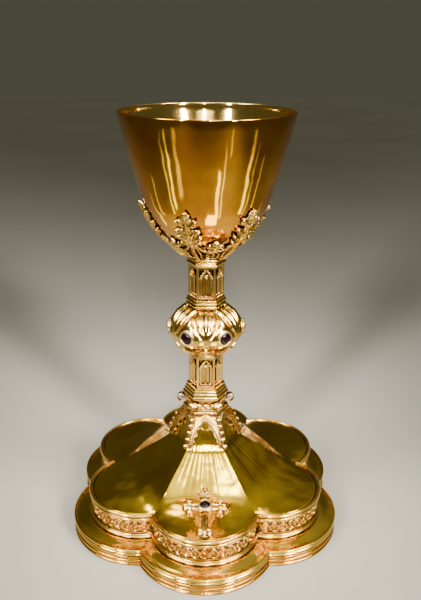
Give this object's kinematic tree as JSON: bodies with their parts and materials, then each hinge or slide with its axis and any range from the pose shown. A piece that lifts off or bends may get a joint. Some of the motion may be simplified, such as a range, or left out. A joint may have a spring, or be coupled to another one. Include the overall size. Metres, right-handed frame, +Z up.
{
  "type": "communion chalice",
  "caption": "Gilt Gothic chalice: plain conical bowl in a leaf calyx, jewelled knop on a traceried six-sided stem, and a lobed foot with a latticed wall and a cross.",
  "frame": {"origin": "middle of the flat base, on the surface the chalice stands on", "axes": "+Z up the stem to the cup; -Y is the front, where the cross lies on the foot; +X to the right seen from the front"},
  "size_m": [0.1514, 0.1626, 0.231],
  "materials": {
    "polished_gold": "mirror-polished gilding",
    "cast_gold": "cast and chased, gilt, dark in the recesses",
    "moulding_gold": "gilt mouldings, bright on the edges",
    "bare_brass": "turned, unpolished",
    "garnet": "polished dark cabochon"
  },
  "bodies": {
    "chalice": {"base_band": "moulding_gold", "calyx": "cast_gold", "crocket_1": "cast_gold", "crocket_2": "cast_gold", "crocket_3": "cast_gold", "crocket_4": "cast_gold", "crocket_5": "cast_gold", "crocket_6": "cast_gold", "crocket_band": "cast_gold", "cross_bezel": "moulding_gold", "cross_stone": "garnet", "cup": "polished_gold", "cup_collar": "moulding_gold", "foot_cross": "cast_gold", "foot_flange": "moulding_gold", "foot_shell": "polished_gold", "gallery_base_moulding": "moulding_gold", "gallery_top_moulding": "moulding_gold", "gallery_wall": "cast_gold", "knop_1_bezel": "moulding_gold", "knop_1_stone": "garnet", "knop_2_bezel": "moulding_gold", "knop_2_stone": "garnet", "knop_3_bezel": "moulding_gold", "knop_3_stone": "garnet", "knop_4_bezel": "moulding_gold", "knop_4_stone": "garnet", "knop_5_bezel": "moulding_gold", "knop_5_stone": "garnet", "knop_6_bezel": "moulding_gold", "knop_6_stone": "garnet", "knop_lower_collar": "moulding_gold", "knop_lower_shell": "polished_gold", "knop_upper_collar": "moulding_gold", "knop_upper_shell": "polished_gold", "lower_stem": "cast_gold", "stem_base_collar": "moulding_gold", "tie_rod": "bare_brass", "tracery_apron": "cast_gold", "upper_stem": "cast_gold"},
    "washer": {"rod_washer": "bare_brass"},
    "nut": {"rod_nut": "bare_brass"}
  },
  "joints": [
    {"name": "washer_drop", "type": "slide", "parent": "chalice", "child": "washer", "axis": [0, 0, -1], "range_m": [0, 0.006]},
    {"name": "nut_unscrew", "type": "hinge", "parent": "washer", "child": "nut", "pos_m": [0, 0, 0.058], "axis": [0, 0, -1], "range_deg": [0, 2160]}
  ],
  "couplings": [
    {"joint": "nut_unscrew", "follows": "washer_drop", "rad_per_m": 6283.2}
  ]
}
